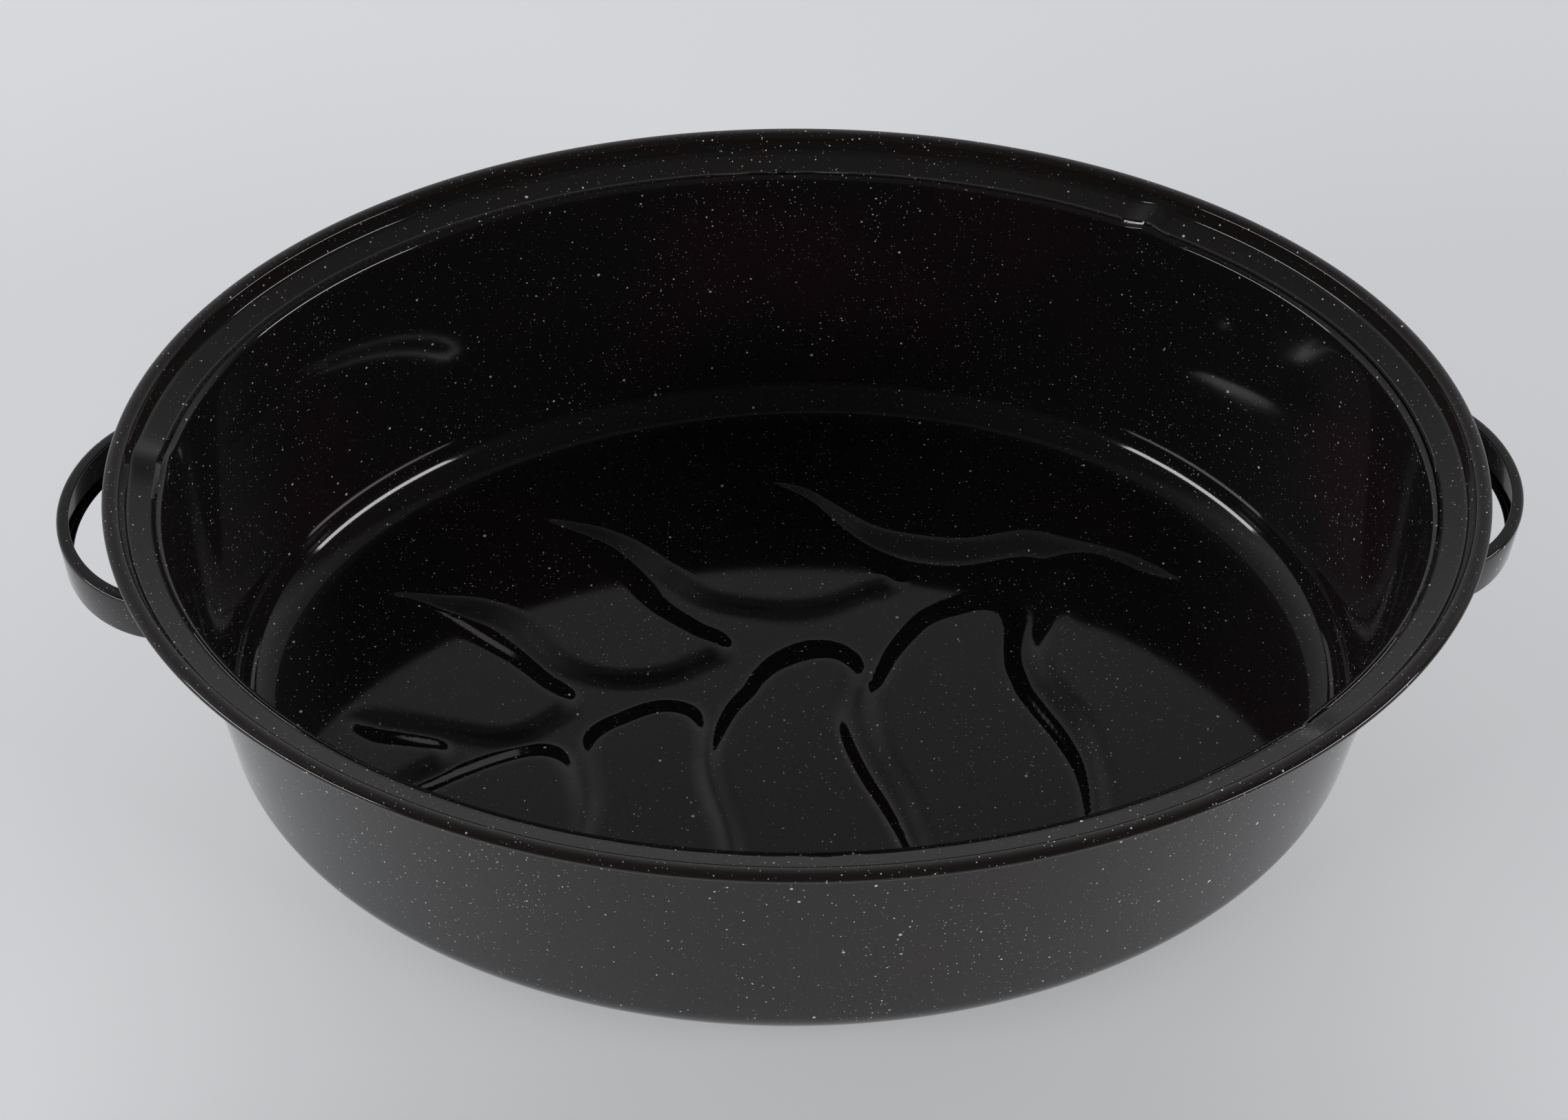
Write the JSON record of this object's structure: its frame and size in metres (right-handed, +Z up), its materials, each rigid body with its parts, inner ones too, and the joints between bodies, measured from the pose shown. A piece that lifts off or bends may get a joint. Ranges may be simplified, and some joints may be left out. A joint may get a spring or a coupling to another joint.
{
  "type": "oval roasting pan",
  "caption": "Open oval enamelled steel pan with a rolled rim, an inner lid ledge, branching juice channels in its floor and a strap handle at each end.",
  "frame": {"origin": "under the middle of the pan, on the surface it stands on", "axes": "+X along the pan's long axis through both handles, +Y across it, +Z up"},
  "size_m": [0.5008, 0.3458, 0.1257],
  "materials": {
    "speckled_enamel": "glossy black porcelain enamel on steel, flecked with small white specks",
    "handle_enamel": "glossy black porcelain enamel with a few white specks, thinner along the edges",
    "weld_steel": "fused steel under enamel, satin"
  },
  "bodies": {
    "root": {"pan_shell": "speckled_enamel", "handle_right": "handle_enamel", "handle_left": "handle_enamel", "weld_right_a1": "weld_steel", "weld_right_b1": "weld_steel", "weld_right_a2": "weld_steel", "weld_right_b2": "weld_steel", "weld_left_a1": "weld_steel", "weld_left_b1": "weld_steel", "weld_left_a2": "weld_steel", "weld_left_b2": "weld_steel"}
  },
  "joints": []
}
